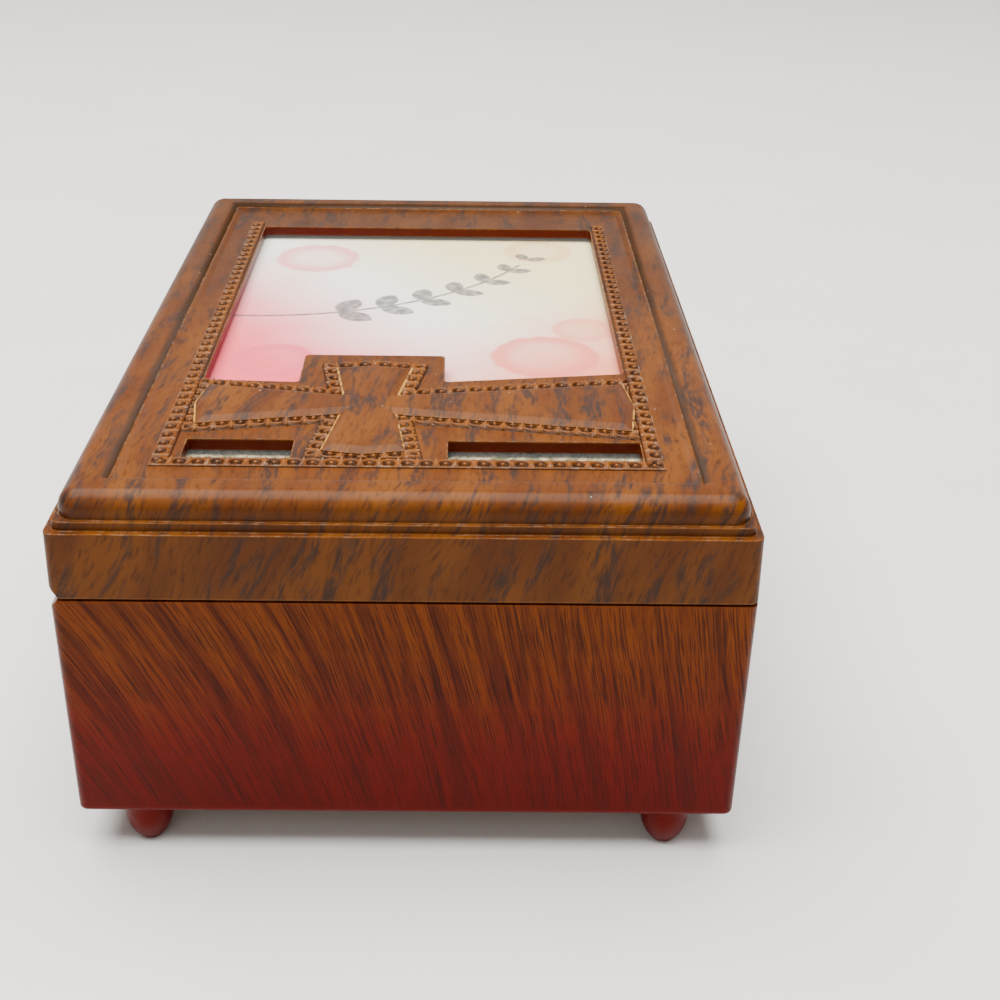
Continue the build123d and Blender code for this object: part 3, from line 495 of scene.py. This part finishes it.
def lid_piece(name, vertices, faces, material):
    """A smooth piece on the lid, made of the vertices that its faces use."""
    used = sorted({corner for face in faces for corner in face})
    place = {old: new for new, old in enumerate(used)}
    spots = [[length * MM for length in vertices[old]] for old in used]
    mesh = bpy.data.meshes.new(name)
    mesh.from_pydata(spots, [], [[place[corner] for corner in face] for face in faces])
    mesh.shade_smooth()
    mesh.materials.append(material)
    piece = bpy.data.objects.new(name, mesh)
    bpy.context.collection.objects.link(piece)
    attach(piece, "lid")


def ridge(distance, height, half_width):
    """Height of a rounded ridge at a distance from its middle line."""
    return height * max(0.0, 1 - (distance / half_width) ** 2)


def figure(u, v, scalloped):
    """Height of a border at u along it and v across it: a bead in an arched groove, a bar between."""
    near = abs((u + MOTIF_PITCH / 2) % MOTIF_PITCH - MOTIF_PITCH / 2)
    r = math.hypot(near, v - BEAD_ROW)
    bead = 0.62 * math.sqrt(max(0.0, 1 - (r / 0.44) ** 2))
    bar = ridge(near - MOTIF_PITCH / 2, 0.6, 0.24)
    arch = ridge(r - 1.3, 0.5, 0.42) if v > 0.7 else ridge(near - 1.05, 0.34, 0.24)
    back = 0.3 if v > 1.9 and not scalloped else 0.0
    ends = min(1.0, max(0.0, v / 0.22), max(0.0, (BORDER_WIDTH + SINK - v) / 0.3))
    return max(bead, bar, arch, back, 0.03) * ends


def border(points, rim, near, far, side, scalloped):
    """Grids that lay the figure to the right of each edge of a closed path.

    rim is the width of a plain rim on the other side of the path. What lies before near, past far or
    further out than side is cut off.
    """
    vertices, faces = [], []
    width = BORDER_WIDTH + rim
    rows = round(width / GRID)
    corners = [Vector(point) for point in points]
    runs = [corners[(i + 1) % len(corners)] - corner for i, corner in enumerate(corners)]
    for i, (corner, run) in enumerate(zip(corners, runs)):
        length, here = run.length, run.normalized()
        right = Vector((here.y, -here.x))
        # Mitres; a turn to the left is a negative signed angle
        start_shift = math.tan(-runs[i - 1].angle_signed(here) / 2)
        end_shift = math.tan(-here.angle_signed(runs[(i + 1) % len(runs)]) / 2)
        # A whole number of figures on each edge
        stretch = MOTIF_PITCH * max(1, round(length / MOTIF_PITCH)) / length
        columns = round(length / GRID)
        first = len(vertices)
        for row in range(rows + 1):
            v = row * width / rows - rim
            low, high = -v * start_shift, length + v * end_shift
            for column in range(columns + 1):
                u = low + (high - low) * column / columns
                spot = corner + here * u + right * v
                rise = figure(u * stretch - MOTIF_PITCH / 2, v, scalloped) if v >= 0 else RIM_HEIGHT
                height = -SINK if row in (0, rows) else 0.01 + rise
                vertices.append((spot.x, spot.y, PANEL_TOP + height))
        for row in range(rows):
            for column in range(columns):
                a = first + row * (columns + 1) + column
                face = (a, a + 1, a + columns + 2, a + columns + 1)
                if any(near < vertices[c][0] < far and abs(vertices[c][1]) < side for c in face):
                    faces.append(face)

    def held(x, y, z):
        """A vertex past the limits moves to them, down at the panel, so that the cut is closed."""
        at = (min(max(x, near), far), min(max(y, -side), side))
        return (*at, z if at == (x, y) else PANEL_TOP - SINK)

    return [held(*vertex) for vertex in vertices], faces


def inner_moulding():
    """The crest runs on inwards, rolls down into a groove and meets the panel's sharp lip, all round the lid."""
    # Pairs of inset and height
    profile = [(4.75, CREST - 0.015), (5.6, CREST - 0.015), (6.4, CREST - 0.03)]
    brow, floor = CREST - 0.05, PANEL_TOP + 0.05
    for i in range(1, 9):
        angle = math.radians(90 * i / 8)
        profile.append((GROOVE - ROLL + ROLL * math.sin(angle), floor + (brow - floor) * math.cos(angle)))
    for beyond, rise in ((0.06, 0.26), (0.14, 0.32), (0.3, 0.3), (0.9, 0.12), (1.4, 0.01)):
        profile.append((GROOVE + beyond, PANEL_TOP + rise))
    vertices, faces = [], []
    for inset, height in profile:
        x, y = LENGTH / 2 - inset, WIDTH / 2 - inset
        vertices += [(-x, -y, height), (x, -y, height), (x, y, height), (-x, y, height)]
    for ring in range(len(profile) - 1):
        for i in range(4):
            a, b = 4 * ring + i, 4 * ring + (i + 1) % 4
            faces.append((a, b, b + 4, a + 4))
    return vertices, faces


def cross_outline():
    """The cross, anticlockwise: four arms that widen outwards, with ends that come to a blunt point."""
    cx, cy = CROSS_CENTRE
    bluntness = 1.2
    # Direction, reach, half width where the arm starts and where it ends, and the start's distance
    arms = (((0, 1), 29.6, 3.9, 8.0, 4.7), ((-1, 0), 19.0, 4.7, 6.7, 3.9),
            ((0, -1), 45.0, 3.9, 9.6, 4.7), ((1, 0), 17.0, 4.7, 6.7, 3.9))
    points = []
    for (dx, dy), reach, waist, end, start in arms:
        shoulder = reach - bluntness
        for along, across in ((start, -waist), (shoulder, -end), (reach, 0), (shoulder, end)):
            points.append((cx + along * dx - across * dy, cy + along * dy + across * dx))
    return points


def cross_edging(points):
    """Bright edges on the sides of the cross that run along the box: wear, and a painted highlight."""
    # Pairs of distance outside the outline and height over the panel
    section = ((0.22, 0.05), (0.18, 0.36), (0.06, 0.44), (-0.14, 0.53))
    vertices, faces = [], []
    for i, point in enumerate(points):
        a, b = Vector(point), Vector(points[(i + 1) % len(points)])
        run = (b - a).normalized()
        if abs(run.x) < abs(run.y):
            continue
        out = Vector((run.y, -run.x))
        first = len(vertices)
        for corner in (a, b):
            for distance, rise in section:
                spot = corner + out * distance
                vertices.append((spot.x, spot.y, PANEL_TOP + rise))
        for row in range(len(section) - 1):
            a, b = first + row, first + row + len(section)
            faces.append((a, b, b + 1, a + 1))
    return vertices, faces


lacquer = materials["wood_grain_lid"]
tooled = grain_lid("tooled_lacquer", carved=True)
cross = cross_outline()
picture_path = [(BORDER_NEAR, -BORDER_SIDE), (BORDER_NEAR, BORDER_SIDE),
                (LENGTH / 2, BORDER_SIDE), (LENGTH / 2, -BORDER_SIDE)]
# The cross's border stops at the picture's, and the picture's a little past the window's far end
cross_limits = (BORDER_NEAR + BORDER_WIDTH, WINDOW_FAR, BORDER_SIDE - BORDER_WIDTH)
picture_limits = (BORDER_NEAR - 1, WINDOW_FAR + 2.5, BORDER_SIDE + 1)
lid_piece("inner_moulding", *inner_moulding(), lacquer)
# The cross's side edges carry wear and a painted highlight
lid_piece("cross_edging", *cross_edging(cross), worn_and_lit_edge())
lid_piece("cross_border", *border(cross, 0.0, *cross_limits, scalloped=True), tooled)
lid_piece("picture_border", *border(picture_path, RIM_WIDTH, *picture_limits, scalloped=False), tooled)


# Stage, in metres

def sweep():
    """A pale floor that curves up into a backdrop beyond the box."""
    half, bend_start, bend, top = 3.0, 1.0, 0.5, 3.0
    profile = [(-half, 0.0), (bend_start, 0.0)]
    for i in range(1, 17):
        angle = math.radians(90 * i / 16)
        profile.append((bend_start + bend * math.sin(angle), bend - bend * math.cos(angle)))
    profile.append((bend_start + bend, top))
    vertices = [(x, y, z) for x, z in profile for y in (-half, half)]
    faces = [(2 * i, 2 * i + 1, 2 * i + 3, 2 * i + 2) for i in range(len(profile) - 1)]
    mesh = bpy.data.meshes.new("floor")
    mesh.from_pydata(vertices, [], faces)
    mesh.shade_smooth()
    s = Shader("floor")
    point = s.place()
    colour = s.mix(s.noise(point, 0.02, 3.0), rgb(226, 222, 218), rgb(216, 213, 210))
    relief = s.bump(s.noise(point, 1.5, 2.0), 0.05)
    mesh.materials.append(s.finish(Base_Color=colour, Roughness=0.8, Normal=relief))
    floor = bpy.data.objects.new("floor", mesh)
    bpy.context.collection.objects.link(floor)


def area_light(name, place, aim, size, power):
    light = bpy.data.lights.new(name, "AREA")
    light.shape = "RECTANGLE"
    light.size, light.size_y = size
    light.energy = power
    lamp = bpy.data.objects.new(name, light)
    lamp.location = place
    lamp.rotation_euler = (Vector(aim) - Vector(place)).to_track_quat("-Z", "Y").to_euler()
    bpy.context.collection.objects.link(lamp)


sweep()
area_light("overhead", (-0.02, 0.12, 1.1), (-0.04, 0.0, 0.03), (1.1, 1.3), 52.0)
area_light("front", (-1.1, 0.3, 0.75), (0.0, 0.0, 0.03), (0.8, 0.8), 2.4)

world = bpy.data.worlds.new("studio")
world.use_nodes = True
world.node_tree.nodes["Background"].inputs["Color"].default_value = (1.0, 0.98, 0.95, 1.0)
world.node_tree.nodes["Background"].inputs["Strength"].default_value = 0.42
bpy.context.scene.world = world


# Camera, at the cross end and a little above the lid

camera_data = bpy.data.cameras.new("camera")
camera_data.sensor_width = 36.0
camera_data.lens = 54.85
camera_data.shift_x = 0.0229
camera_data.shift_y = -0.12
camera_data.clip_start = 0.01
camera = bpy.data.objects.new("camera", camera_data)
camera.location = Vector((-278.1, -8.7, 171.0)) * MM
aim = Vector((0.0, -11.3, 50.6)) * MM
roll = math.radians(0.79)
camera.rotation_mode = "QUATERNION"
camera.rotation_quaternion = (aim - camera.location).to_track_quat("-Z", "Y") @ Quaternion((0, 0, 1), roll)
bpy.context.collection.objects.link(camera)
bpy.context.scene.camera = camera
